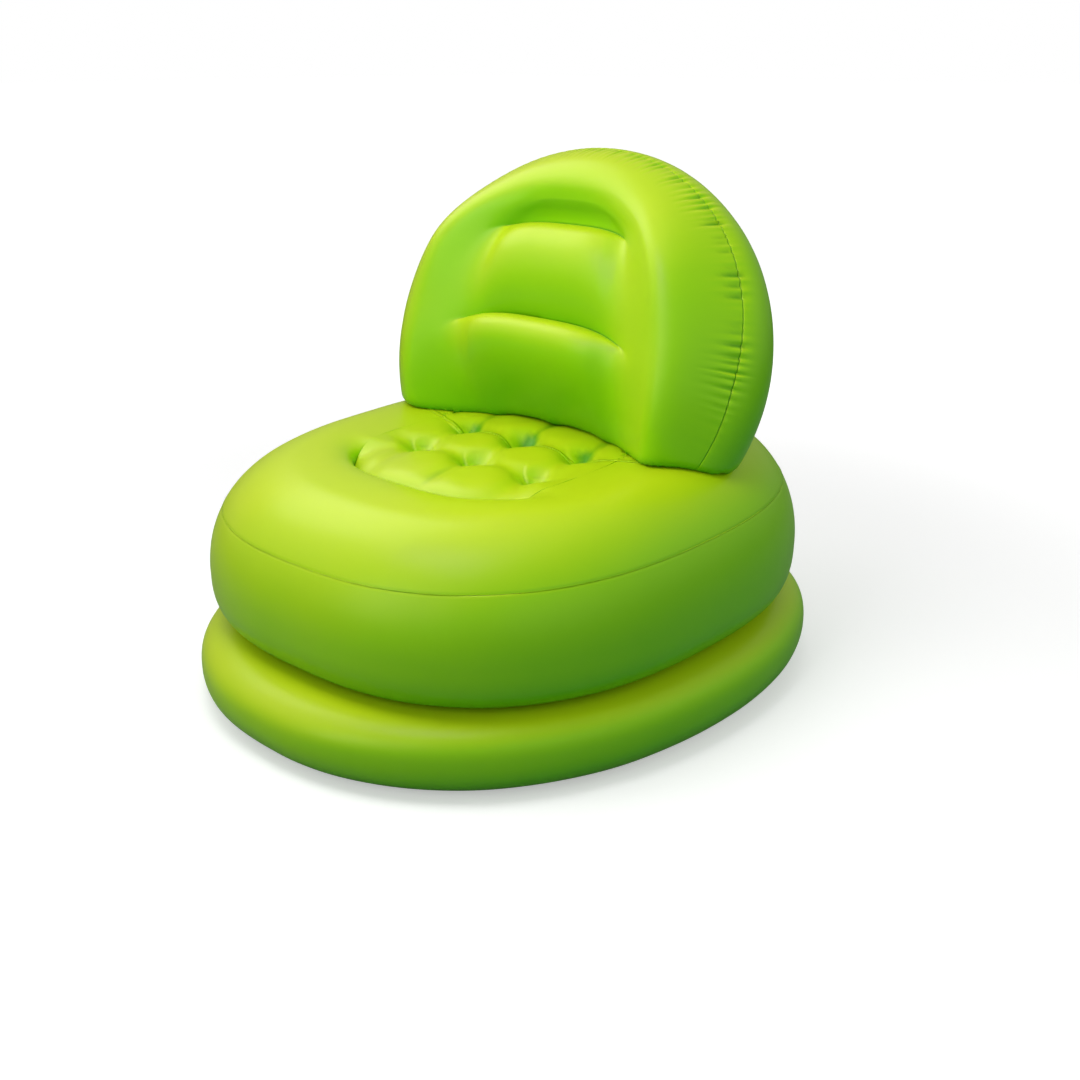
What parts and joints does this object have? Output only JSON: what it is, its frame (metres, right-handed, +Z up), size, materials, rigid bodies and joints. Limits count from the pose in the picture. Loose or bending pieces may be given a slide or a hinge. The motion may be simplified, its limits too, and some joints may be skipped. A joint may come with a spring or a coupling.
{
  "type": "inflatable armchair",
  "caption": "Inflatable lounge armchair: oval base ring, seat body with a sunken tufted panel, and a leaning arched backrest with two bolsters.",
  "frame": {"origin": "on the floor, under the middle of the bounding box of the base", "axes": "+Z up, the sitter faces -Y, +X to the sitter's left, so the chair is mirror-symmetric about X = 0 apart from its valves"},
  "size_m": [0.84, 0.99, 0.7597],
  "materials": {
    "skin": "satin-gloss lime green vinyl sheet, softly mottled",
    "inner_sheet": "plain back of the same vinyl sheet",
    "valve_cup": "moulded soft vinyl, lime green",
    "valve_plug": "moulded soft vinyl, milky white"
  },
  "bodies": {
    "chair": {"base_bottom_panel": "skin", "base_ring_wall": "skin", "waist_divider": "inner_sheet", "seat_lower_wall": "skin", "seat_upper_wall": "skin", "seat_tufted_panel": "skin", "seat_tuft_post_1": "inner_sheet", "seat_tuft_post_2": "inner_sheet", "seat_tuft_post_3": "inner_sheet", "seat_tuft_post_4": "inner_sheet", "seat_tuft_post_5": "inner_sheet", "seat_tuft_post_6": "inner_sheet", "base_tie_post_1": "inner_sheet", "base_tie_post_2": "inner_sheet", "base_tie_post_3": "inner_sheet", "base_tie_post_4": "inner_sheet", "base_tie_post_5": "inner_sheet", "base_tie_post_6": "inner_sheet", "backrest_front_panel": "skin", "backrest_rear_panel": "skin", "backrest_lower_beam": "inner_sheet", "backrest_upper_beam": "inner_sheet", "backrest_arch_beam": "inner_sheet", "backrest_valve_cup": "valve_cup", "seat_valve_cup": "valve_cup"},
    "backrest_stem": {"backrest_valve_stem": "valve_cup"},
    "backrest_plug": {"backrest_valve_plug": "valve_plug"},
    "backrest_flap": {"backrest_valve_flap": "valve_plug"},
    "seat_stem": {"seat_valve_stem": "valve_cup"},
    "seat_plug": {"seat_valve_plug": "valve_plug"},
    "seat_flap": {"seat_valve_flap": "valve_plug"}
  },
  "joints": [
    {"name": "backrest_stem_pull", "type": "slide", "parent": "chair", "child": "backrest_stem", "axis": [0.6888, 0.6096, -0.3923], "range_m": [0, 0.012]},
    {"name": "backrest_plug_pull", "type": "slide", "parent": "backrest_stem", "child": "backrest_plug", "axis": [0.6888, 0.6096, -0.3923], "range_m": [0, 0.009]},
    {"name": "backrest_flap_swing", "type": "hinge", "parent": "backrest_stem", "child": "backrest_flap", "pos_m": [0.29708, 0.14287, 0.38482], "axis": [-0.691, 0.3885, -0.6096], "range_deg": [0, 50], "stiffness_Nm_per_rad": 0.0001, "springref_deg": -11.46},
    {"name": "seat_stem_pull", "type": "slide", "parent": "chair", "child": "seat_stem", "axis": [0.3527, 0.9357, 0], "range_m": [0, 0.012]},
    {"name": "seat_plug_pull", "type": "slide", "parent": "seat_stem", "child": "seat_plug", "axis": [0.3527, 0.9357, 0], "range_m": [0, 0.009]},
    {"name": "seat_flap_swing", "type": "hinge", "parent": "seat_stem", "child": "seat_flap", "pos_m": [0.16328, 0.3785, 0.21271], "axis": [-0.33, 0.1244, -0.9357], "range_deg": [0, 50], "stiffness_Nm_per_rad": 0.0001, "springref_deg": -11.46}
  ]
}
